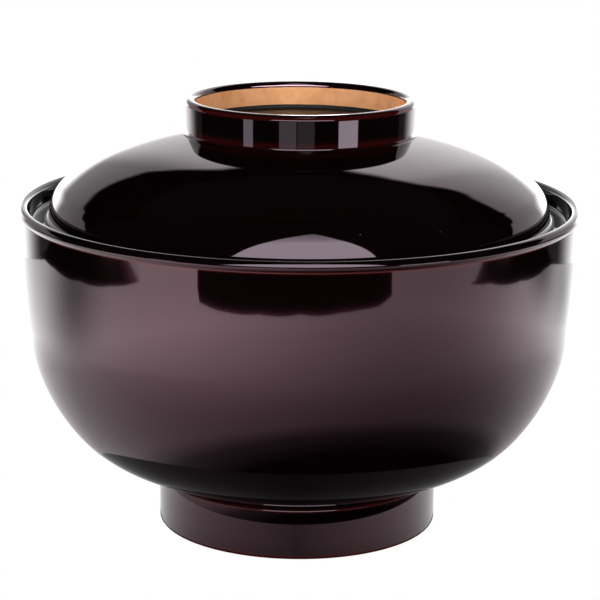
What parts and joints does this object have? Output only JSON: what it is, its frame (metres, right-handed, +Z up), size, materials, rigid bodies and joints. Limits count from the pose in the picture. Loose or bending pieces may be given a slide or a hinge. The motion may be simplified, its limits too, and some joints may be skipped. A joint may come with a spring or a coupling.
{
  "type": "lidded lacquer rice bowl",
  "caption": "Round footed lacquer bowl with a rolled lip and a low domed lid that drops inside the mouth and is lifted by a ring grip.",
  "frame": {"origin": "centre of the foot ring's standing plane", "axes": "+Z up along the bowl's turning axis; the bowl is round, so X and Y are free"},
  "size_m": [0.12, 0.12, 0.0928],
  "materials": {
    "wood": "turned close-grained wood, unseen under the coats",
    "red_lacquer": "red lacquer over its ground, seen only where the top coat thins",
    "amber_lacquer": "polished clear amber lacquer over red, reads as a very dark red-brown",
    "black_lacquer": "polished black lacquer",
    "gold_powder": "fine gold powder bedded in lacquer, satin"
  },
  "bodies": {
    "bowl": {"bowl_wood_core": "wood", "bowl_red_undercoat": "red_lacquer", "bowl_amber_topcoat": "amber_lacquer", "bowl_black_inside": "black_lacquer", "bowl_foot_recess_coat": "black_lacquer", "bowl_foot_edge_coat": "amber_lacquer"},
    "lid": {"lid_wood_core": "wood", "lid_red_undercoat": "red_lacquer", "lid_amber_topcoat": "amber_lacquer", "lid_black_underside": "black_lacquer", "lid_ring_gilding": "gold_powder", "lid_ring_floor_coat": "black_lacquer"}
  },
  "joints": [
    {"name": "lid_lift", "type": "slide", "parent": "bowl", "child": "lid", "axis": [0, 0, 1], "range_m": [0, 0.05]}
  ]
}
